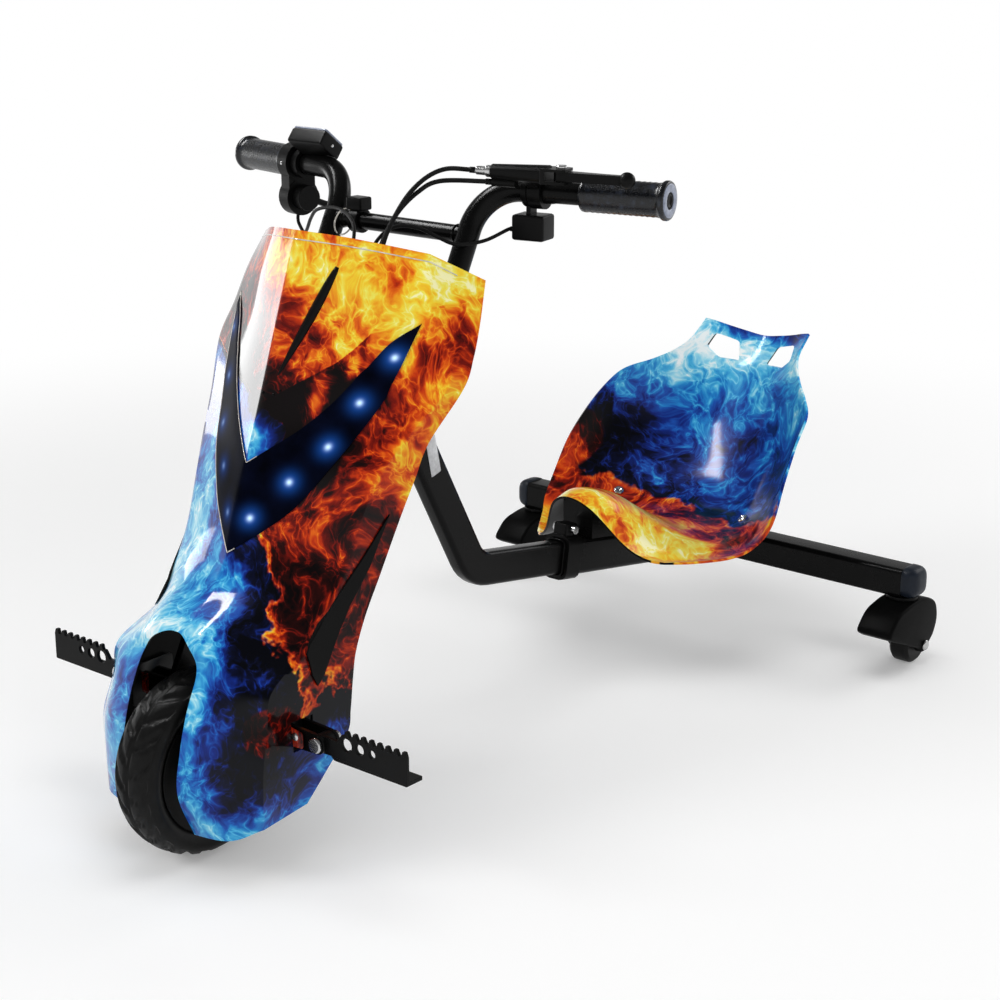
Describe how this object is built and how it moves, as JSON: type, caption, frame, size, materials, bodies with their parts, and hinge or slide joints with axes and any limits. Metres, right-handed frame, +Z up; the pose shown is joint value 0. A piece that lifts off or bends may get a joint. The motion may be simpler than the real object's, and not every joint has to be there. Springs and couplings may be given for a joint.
{
  "type": "three-wheel drift scooter",
  "caption": "Low electric three-wheel scooter: driven front wheel under a raked handlebar column, bucket seat on a sliding frame, small inclined casters on a rear beam.",
  "frame": {"origin": "on the floor under the middle of the scooter's length and width", "axes": "+Z up, -Y the way the rider faces, +X the rider's left"},
  "size_m": [0.6346, 1.1144, 0.6803],
  "materials": {
    "black_frame": "satin black paint",
    "hub_black": "satin black paint on cast metal",
    "satin_black": "satin black",
    "rubber": "moulded rubber",
    "grip_rubber": "smooth moulded grip",
    "steel": "bright plated",
    "cable_black": "black sheath",
    "shell_print": "glossy printed shell",
    "seat_print": "glossy printed seat",
    "smoked_lens": "smoked lens",
    "battery_blue": "shrink wrapped pack",
    "controller_grey": "bare cast case",
    "red_plastic": "red button"
  },
  "bodies": {
    "rear_frame": {"clamp_bolt": "steel", "clamp_collar": "satin_black", "left_beam_cap": "satin_black", "left_seat_bolt": "steel", "outer_sleeve": "black_frame", "rear_beam": "black_frame", "right_beam_cap": "satin_black", "right_seat_bolt": "steel", "seat_bracket": "black_frame", "seat_shell": "seat_print"},
    "front_frame": {"frame_tube": "black_frame", "head_tube": "black_frame", "lower_bearing": "steel", "upper_bearing": "steel"},
    "steering": {"barrel_adjuster": "steel", "battery_box": "battery_blue", "battery_display": "satin_black", "brake_arm": "steel", "brake_cable": "cable_black", "brake_perch": "satin_black", "controller_box": "controller_grey", "cutoff_cable": "cable_black", "fork_crown": "black_frame", "front_shell": "shell_print", "handlebar": "black_frame", "handlebar_yoke": "black_frame", "lamp_lens": "smoked_lens", "left_axle_nut": "steel", "left_fork_leg": "black_frame", "left_grip": "grip_rubber", "left_peg_bolt": "steel", "left_peg_bracket": "black_frame", "left_vent": "satin_black", "lever_pivot": "steel", "power_switch": "satin_black", "right_axle_nut": "steel", "right_fork_leg": "black_frame", "right_grip": "grip_rubber", "right_peg_bolt": "steel", "right_peg_bracket": "black_frame", "right_vent": "satin_black", "steerer_tube": "black_frame", "switch_box": "satin_black", "switch_cable": "cable_black", "throttle_cable": "cable_black", "throttle_housing": "satin_black", "wheel_axle": "steel"},
    "front_wheel": {"front_tyre": "rubber", "hub_motor": "hub_black"},
    "left_caster": {"left_caster_hood": "satin_black", "left_caster_axle": "steel"},
    "right_caster": {"right_caster_hood": "satin_black", "right_caster_axle": "steel"},
    "left_caster_wheel": {"left_caster_wheel": "rubber"},
    "right_caster_wheel": {"right_caster_wheel": "rubber"},
    "left_peg": {"left_foot_peg": "satin_black"},
    "right_peg": {"right_foot_peg": "satin_black"},
    "brake_lever": {"brake_lever": "satin_black"},
    "thumb_lever": {"thumb_lever": "satin_black"},
    "horn_button": {"horn_button": "red_plastic"}
  },
  "joints": [
    {"name": "length_slide", "type": "slide", "parent": "rear_frame", "child": "front_frame", "axis": [0, -0.9877, 0.1564], "range_m": [-0.06, 0.06]},
    {"name": "steering_turn", "type": "hinge", "parent": "front_frame", "child": "steering", "pos_m": [0, -0.27978, 0.45196], "axis": [0, 0.454, 0.891], "range_deg": [-45, 45]},
    {"name": "front_wheel_spin", "type": "hinge", "parent": "steering", "child": "front_wheel", "pos_m": [0, -0.46115, 0.096], "axis": [1, 0, 0], "continuous": true},
    {"name": "left_caster_turn", "type": "hinge", "parent": "rear_frame", "child": "left_caster", "pos_m": [0.29, 0.43685, 0.0897], "axis": [0, 0, 1], "continuous": true},
    {"name": "right_caster_turn", "type": "hinge", "parent": "rear_frame", "child": "right_caster", "pos_m": [-0.29, 0.43685, 0.0897], "axis": [0, 0, 1], "continuous": true},
    {"name": "left_caster_spin", "type": "hinge", "parent": "left_caster", "child": "left_caster_wheel", "pos_m": [0.29, 0.45685, 0.026], "axis": [1, 0, 0], "continuous": true},
    {"name": "right_caster_spin", "type": "hinge", "parent": "right_caster", "child": "right_caster_wheel", "pos_m": [-0.29, 0.45685, 0.026], "axis": [1, 0, 0], "continuous": true},
    {"name": "left_peg_fold", "type": "hinge", "parent": "steering", "child": "left_peg", "pos_m": [0.145, -0.42915, 0.145], "axis": [0, -1, 0], "range_deg": [0, 90]},
    {"name": "right_peg_fold", "type": "hinge", "parent": "steering", "child": "right_peg", "pos_m": [-0.145, -0.42915, 0.145], "axis": [0, 1, 0], "range_deg": [0, 90]},
    {"name": "brake_lever_pull", "type": "hinge", "parent": "steering", "child": "brake_lever", "pos_m": [0.20548, -0.14657, 0.662], "axis": [0, 0, 1], "range_deg": [0, 18], "stiffness_Nm_per_rad": 0.6, "springref_deg": -8.59},
    {"name": "thumb_lever_push", "type": "hinge", "parent": "steering", "child": "thumb_lever", "pos_m": [-0.194, -0.11221, 0.602], "axis": [-0.9781, 0.2079, 0], "range_deg": [0, 45], "stiffness_Nm_per_rad": 0.15, "springref_deg": -17.19},
    {"name": "horn_button_press", "type": "slide", "parent": "steering", "child": "horn_button", "axis": [0.2079, -0.9781, 0], "range_m": [0, 0.002], "stiffness_N_per_m": 300, "springref_m": -0.001}
  ]
}
